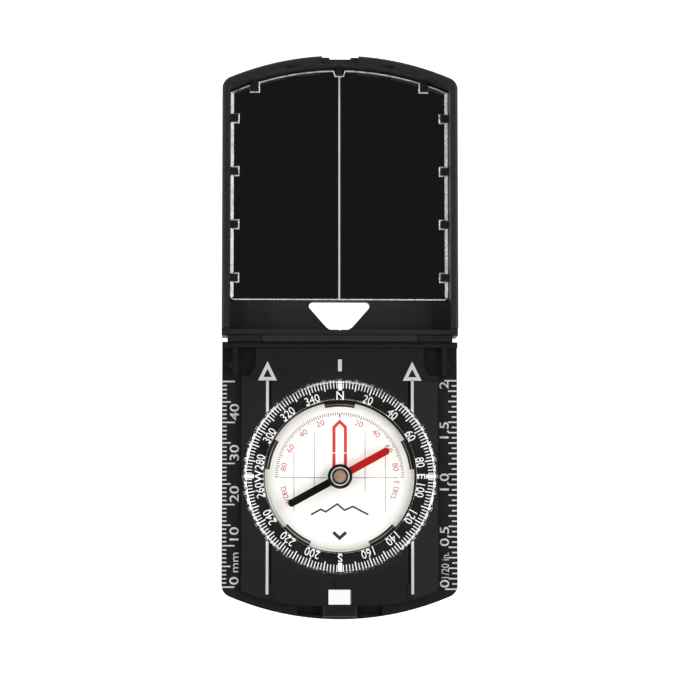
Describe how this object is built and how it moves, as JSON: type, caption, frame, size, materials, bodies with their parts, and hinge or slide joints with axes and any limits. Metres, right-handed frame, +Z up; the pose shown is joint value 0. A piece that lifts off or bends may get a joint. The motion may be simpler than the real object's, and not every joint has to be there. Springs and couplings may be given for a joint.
{
  "type": "mirror compass",
  "caption": "Folding mirror compass with ruler edges, a turning dial over a sealed needle capsule, and a hinged cover that holds a mirror and a sighting window.",
  "frame": {"origin": "under the middle of the open compass, on the surface it lies on", "axes": "+X to the right across the compass, +Y from the base towards the arched end of the mirror cover, +Z up out of the dial"},
  "size_m": [0.0578, 0.1376, 0.0109],
  "materials": {
    "black_plastic": "fine-textured satin black moulding",
    "mirror": "silvered clear plate, polished",
    "steel": "ground stainless steel",
    "acetal": "smooth low-friction plastic",
    "scale_black": "black print under the clear ring",
    "clear_plastic": "clear polished acrylic",
    "capsule_black": "smooth black moulding",
    "dial_white": "warm white printed card",
    "rubber": "soft black elastomer",
    "needle_paint": "red and black paint on flat steel",
    "hub_black": "glossy black cap",
    "brass": "turned copper alloy",
    "jewel": "polished synthetic stone"
  },
  "bodies": {
    "base": {"base_tray": "black_plastic", "deck_plate": "black_plastic", "hinge_pin_left": "steel", "hinge_pin_right": "steel"},
    "cover": {"mirror_cover": "black_plastic", "mirror": "mirror"},
    "bezel": {"scale_ring": "scale_black", "grip_ring": "clear_plastic", "retaining_ring": "acetal", "capsule_base": "capsule_black", "dial_card": "dial_white", "capsule_seal": "rubber", "capsule_dome": "clear_plastic", "pivot_post": "steel", "filler_plug": "rubber"},
    "needle": {"needle_bar": "needle_paint", "needle_hub": "hub_black", "hub_collar": "steel", "jewel_cup": "brass", "pivot_jewel": "jewel"}
  },
  "joints": [
    {"name": "cover_fold", "type": "hinge", "parent": "base", "child": "cover", "pos_m": [0, -0.00072, 0.0085], "axis": [1, 0, 0], "range_deg": [0, 180]},
    {"name": "bezel_turn", "type": "hinge", "parent": "base", "child": "bezel", "pos_m": [0, -0.03432, 0.0085], "axis": [0, 0, 1], "continuous": true},
    {"name": "needle_turn", "type": "hinge", "parent": "bezel", "child": "needle", "pos_m": [0, -0.03432, 0.0085], "axis": [0, 0, 1], "continuous": true}
  ]
}
